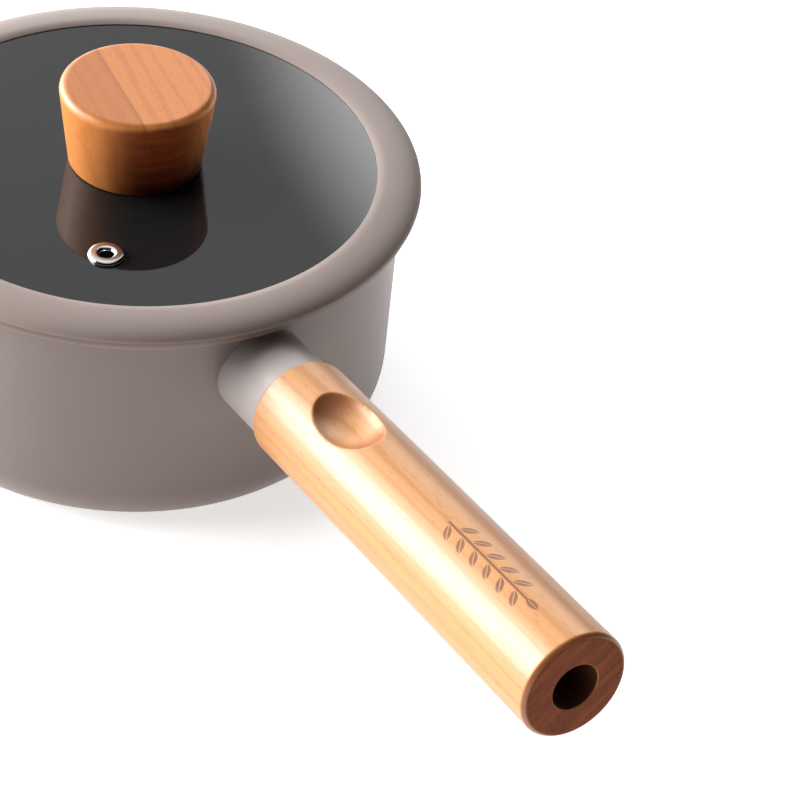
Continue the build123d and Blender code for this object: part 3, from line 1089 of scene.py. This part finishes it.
@dataclass
class Lid:
    """The glass, its silicone rim, the knob and the steam vent. Sizes in millimetres."""

    silicone: bpy.types.Material
    bright: bpy.types.Material
    glass: bpy.types.Material
    rim_r: float = 100.0
    crest_r: float = 87.8
    lip_r: float = 84.3
    lip_edge: float = 0.3
    lip_under: float = 2.0
    skirt_r: float = 89.3
    skirt_width: float = 3.6
    skirt_edge: float = 1.0
    rim_above_flange: float = 0.3
    glass_edge: float = 0.8
    knob_top_r: float = 27.2
    knob_base_r: float = 23.2
    knob_top_edge: float = 3.0
    knob_base_edge: float = 0.8
    gasket_r: float = 14.0
    gasket_thickness: float = 1.5
    knob_insert_r: float = 3.6
    knob_hole_depth: float = 15.0
    vent_hole_r: float = 2.3
    vent_tube_r: float = 3.4
    vent_lip_edge: float = 1.2
    vent_mouth_edge: float = 1.4
    steps: int = 224

    def build(self) -> None:
        """Builds the rim, the knob and the eyelet, and dresses the glass."""
        self._rim()
        self._knob()
        self._eyelet()
        dress_node("lid_glass", self.glass)

    def _rim(self) -> None:
        """Turns the silicone rim: a groove for the glass, a wing and a skirt."""
        low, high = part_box("lid_rim")
        glass_low, glass_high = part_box("lid_glass")
        crest = high.z / MM
        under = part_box("pan_body")[1].z / MM + self.rim_above_flange
        top, bottom, glass_r = glass_high.z / MM, glass_low.z / MM, glass_high.y / MM
        inner = self.skirt_r - self.skirt_width
        bm = section(
            (
                Corner(self.crest_r, crest),
                Corner(self.lip_r, top + self.lip_edge),
                Corner(self.lip_r, top),
                Corner(glass_r, top, self.glass_edge, 3),
                Corner(glass_r, bottom, self.glass_edge, 3),
                Corner(self.lip_r, bottom),
                Corner(inner, bottom - self.lip_under),
                Corner(inner, low.z / MM, self.skirt_edge, 4),
                Corner(self.skirt_r, low.z / MM, self.skirt_edge, 4),
                Corner(self.skirt_r, under),
                Corner(self.rim_r, under),
            )
        )
        self._round_wing(bm, crest, under)
        self._bow_slope(bm, crest, top + self.lip_edge)
        spin_section(bm, self.steps)
        finish_piece(bm, "silicone_rim", "lid", ("lid_rim",), self.silicone, 50.0)

    def _round_wing(self, bm: bmesh.types.BMesh, crest: float, under: float) -> None:
        """Bows the line from the crest to the wing's edge out to a quarter ellipse.

        Args:
            bm: the rim's section.
            crest: height of the crest.
            under: height of the wing's underside.
        """
        start = Vector((self.crest_r, 0.0, crest)) * MM
        reach = Vector((self.rim_r, 0.0, under)) * MM - start
        for v in cut_line(bm, start, start + reach, 22):
            turn = (v.co.x - start.x) / reach.x * math.pi / 2.0
            v.co.x = start.x + reach.x * math.sin(turn)
            v.co.z = start.z + reach.z * (1.0 - math.cos(turn))

    def _bow_slope(self, bm: bmesh.types.BMesh, crest: float, lip: float) -> None:
        """Bows the line from the lip up to the crest, which it meets level.

        Args:
            bm: the rim's section.
            crest: height of the crest.
            lip: height of the lip's upper edge.
        """
        start = Vector((self.lip_r, 0.0, lip)) * MM
        reach = Vector((self.crest_r, 0.0, crest)) * MM - start
        for v in cut_line(bm, start, start + reach, 10):
            share = (v.co.x - start.x) / reach.x
            v.co.z = start.z + reach.z * (1.0 - (1.0 - share) ** 2)

    def _knob(self) -> None:
        """Turns the beech knob with its gasket recess and insert hole."""
        low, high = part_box("lid_knob")
        base, top = low.z / MM, high.z / MM
        recess = base + self.gasket_thickness
        hole = recess + self.knob_hole_depth
        bm = turned(
            (
                Corner(0.0, top),
                Corner(self.knob_top_r, top, self.knob_top_edge, 10),
                Corner(self.knob_base_r, base, self.knob_base_edge, 5),
                Corner(self.gasket_r, base),
                Corner(self.gasket_r, recess),
                Corner(self.knob_insert_r, recess),
                Corner(self.knob_insert_r, hole),
                Corner(0.0, hole),
            ),
            192,
        )
        finish_piece(bm, "beech_knob", "lid", ("lid_knob",), self._wood(top * MM))

    def _wood(self, top: float) -> bpy.types.Material:
        """The knob's beech: the grain lies flat, and a glue line joins two pieces.

        Args:
            top: height of the knob's top in metres.
        """
        along = Vector((0.9918, -0.1277, 0.0)).normalized()
        across = Vector((-along.y, along.x, 0.0)) * -1.0
        up = along.cross(across)
        turn = Matrix((across, up, along)).transposed().to_4x4()
        return Beech(
            name="knob_beech",
            grain_frame=Matrix.Translation((0.0, 0.0, top)) @ turn,
            pale=(0.72, 0.272, 0.066),
            warm=(0.58, 0.176, 0.036),
            fleck=(0.20, 0.05, 0.012),
            end_grain=(0.19, 0.036, 0.008),
            # Painted shade: the knob's top face is tinted darker, for how the light falls on it.
            painted_top_shade=(0.69, 0.60, 0.40),
            end_from=0.62,
            end_to=1.0,
            band_width=0.006,
            lamination=0.0067,
            pores=0.3,
        ).material()

    def _eyelet(self) -> None:
        """Turns the vent's eyelet with its rolled lip."""
        low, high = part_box("vent_eyelet")
        glass_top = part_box("lid_glass")[1].z / MM
        centre = (low + high) / 2.0
        lip_r = (high.x - low.x) / 2.0 / MM
        bm = turned(
            (
                Corner(self.vent_hole_r, low.z / MM),
                Corner(self.vent_tube_r, low.z / MM, 0.3, 2),
                Corner(self.vent_tube_r, glass_top),
                Corner(lip_r, glass_top),
                Corner(lip_r, high.z / MM, self.vent_lip_edge, 8),
                Corner(self.vent_hole_r, high.z / MM, self.vent_mouth_edge, 8),
            ),
            72,
        )
        bm.transform(Matrix.Translation((centre.x, centre.y, 0.0)))
        finish_piece(bm, "steam_eyelet", "lid", ("vent_eyelet",), self.bright, 60.0)


@dataclass
class Hardware:
    """The pieces inside that keep their CAD shape."""

    def dress(self) -> None:
        """Gives each inner piece its finish."""
        plated = Steel("zinc_plate", SteelKind.PLATED, (0.6, 0.6, 0.58), 0.32).material()
        polished = Steel("polished_fittings", SteelKind.POLISHED, roughness=0.16).material()
        brass = Steel("machined_brass", SteelKind.TURNED, (0.80, 0.58, 0.26), 0.28).material()
        rubber = Silicone("gasket_rubber", (0.62, 0.6, 0.57)).material()
        bare = MatteCoat("bare_aluminium", (0.6, 0.6, 0.6), 0.4).material()
        dress_node("handle_boss", bare)
        for node in ("boss_insert", "locating_pin", "handle_bolt", "bolt_washer", "spring_washer"):
            dress_node(node, plated)
        for node in ("knob_washer", "knob_screw", "vent_washer"):
            dress_node(node, polished)
        dress_node("knob_insert", brass)
        for node in ("knob_gasket_upper", "knob_gasket_lower"):
            dress_node(node, rubber)


# --- Studio ---------------------------------------------------------------------------------


@dataclass(frozen=True)
class Glow:
    """A soft round patch of light in the studio's surround.

    Args:
        azimuth: direction that it lies in, degrees from +X.
        elevation: its middle's height above the horizon in degrees.
        half_angle: its half width in degrees.
        softness: half width of its soft edge in degrees.
        strength: its brightness.
    """

    azimuth: float
    elevation: float
    half_angle: float
    softness: float
    strength: float

    def brightness(self, tree: bpy.types.NodeTree, looking: bpy.types.NodeSocket) -> bpy.types.NodeSocket:
        """Wires the glow's share of the surround.

        Args:
            tree: the world's node tree.
            looking: the direction that is looked in.

        Returns:
            The glow's brightness in that direction.
        """
        a, e = math.radians(self.azimuth), math.radians(self.elevation)
        facing = tree.nodes.new("ShaderNodeVectorMath")
        facing.operation = "DOT_PRODUCT"
        facing.inputs[1].default_value = (math.cos(e) * math.cos(a), math.cos(e) * math.sin(a), math.sin(e))
        tree.links.new(looking, facing.inputs[0])
        step = tree.nodes.new("ShaderNodeMapRange")
        step.interpolation_type = "SMOOTHSTEP"
        step.inputs["From Min"].default_value = math.cos(math.radians(self.half_angle + self.softness))
        step.inputs["From Max"].default_value = math.cos(math.radians(self.half_angle - self.softness))
        step.inputs["To Max"].default_value = self.strength
        tree.links.new(facing.outputs["Value"], step.inputs["Value"])
        return step.outputs["Result"]


@dataclass
class Studio:
    """The floor, the surround and the camera."""

    floor_size: float = 8.0
    lens: float = 132.8
    eye: tuple[float, float, float] = (0.7406, -0.4034, 0.6838)
    aim: tuple[float, float, float] = (0.1311, 0.0306, 0.07)
    roll: float = 6.70
    glows: tuple[Glow, ...] = (
        Glow(136.0, 28.0, 11.2, 1.5, 4.7),
        Glow(172.0, 40.0, 38.0, 10.0, 0.94),
        Glow(-150.0, 8.0, 18.0, 12.0, 15.5),
        Glow(-126.0, 24.0, 18.0, 12.0, 12.0),
        Glow(178.0, 12.0, 20.0, 12.0, 2.2),
        Glow(0.0, 90.0, 20.0, 15.0, 0.6),
    )

    def build(self) -> None:
        """Sets the studio up."""
        self._floor()
        self._world()
        self._camera()

    def _floor(self) -> None:
        """Lays the floor under the pan."""
        bm = bmesh.new()
        bmesh.ops.create_grid(bm, x_segments=8, y_segments=8, size=self.floor_size / 2.0)
        mesh = bpy.data.meshes.new("floor")
        bm.to_mesh(mesh)
        bm.free()
        floor = bpy.data.objects.new("floor", mesh)
        bpy.context.scene.collection.objects.link(floor)
        floor.data.materials.append(PaleFloor("studio_floor").material())

    def _world(self) -> None:
        """A dim surround with soft glows for lights, which shows plain white behind the floor."""
        world = bpy.data.worlds.new("studio")
        bpy.context.scene.world = world
        world.use_nodes = True
        tree = world.node_tree
        looking = tree.nodes.new("ShaderNodeTexCoord").outputs["Generated"]
        total = None
        for glow in self.glows:
            share = glow.brightness(tree, looking)
            if total is None:
                total = share
                continue
            added = tree.nodes.new("ShaderNodeMath")
            tree.links.new(total, added.inputs[0])
            tree.links.new(share, added.inputs[1])
            total = added.outputs[0]
        seen = tree.nodes.new("ShaderNodeMix")
        tree.links.new(tree.nodes.new("ShaderNodeLightPath").outputs["Is Camera Ray"], seen.inputs[0])
        tree.links.new(total, seen.inputs[2])
        seen.inputs[3].default_value = 1.0
        tree.links.new(seen.outputs[0], tree.nodes["Background"].inputs["Strength"])
        tree.nodes["Background"].inputs["Color"].default_value = (1.0, 1.0, 1.0, 1.0)

    def _camera(self) -> None:
        """Stands the camera, level apart from a slight roll."""
        data = bpy.data.cameras.new("camera")
        data.lens = self.lens
        data.sensor_width = 36.0
        data.clip_start = 0.01
        camera = bpy.data.objects.new("camera", data)
        bpy.context.scene.collection.objects.link(camera)
        eye, aim = Vector(self.eye), Vector(self.aim)
        ahead = (aim - eye).normalized()
        right = ahead.cross(Vector((0.0, 0.0, 1.0))).normalized()
        turn = Matrix.Rotation(math.radians(self.roll), 3, -ahead)
        right = turn @ right
        up = right.cross(ahead)
        axes = Matrix((right, up, -ahead)).transposed().to_4x4()
        camera.matrix_world = Matrix.Translation(eye) @ axes
        bpy.context.scene.camera = camera


def main() -> None:
    """Builds the saucepan and its studio in order."""
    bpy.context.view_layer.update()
    greige = (0.186, 0.140, 0.124)
    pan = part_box("pan_body")[1]
    coat = PanCoat(
        name="pan_coat",
        outside=greige,
        inside=(0.42, 0.37, 0.33),
        mouth_r=0.090,
        core_r=0.0755,
        core_z=0.018,
        mid_shell=0.0162,
        flange_r=pan.y,
        top_z=pan.z,
    ).material()
    # Painted light: the ferrule carries the pan's own coat, made paler here to stand for the light from the
    # left that falls on it.
    ferrule_coat_painted_light = MatteCoat("ferrule_coat_painted_light", (0.32, 0.282, 0.27), 0.42).material()
    plate_finish = Steel("base_steel", SteelKind.TURNED, (0.6, 0.59, 0.57), 0.3).material()
    silicone = Silicone("rim_silicone", (0.240, 0.186, 0.167)).material()
    bright = Steel("eyelet_steel", SteelKind.POLISHED, (0.8, 0.8, 0.79), 0.13).material()
    glass = SmokedGlass("smoked_glass", (0.02, 0.022, 0.024)).material()
    handle_frame = HandleFrame()
    Pan(coat, plate_finish).build()
    Handle(handle_frame, ferrule_coat_painted_light).build()
    Lid(silicone, bright, glass).build()
    Hardware().dress()
    Studio().build()
    bpy.context.scene.view_settings.view_transform = "Standard"


if __name__ == "__main__":
    main()
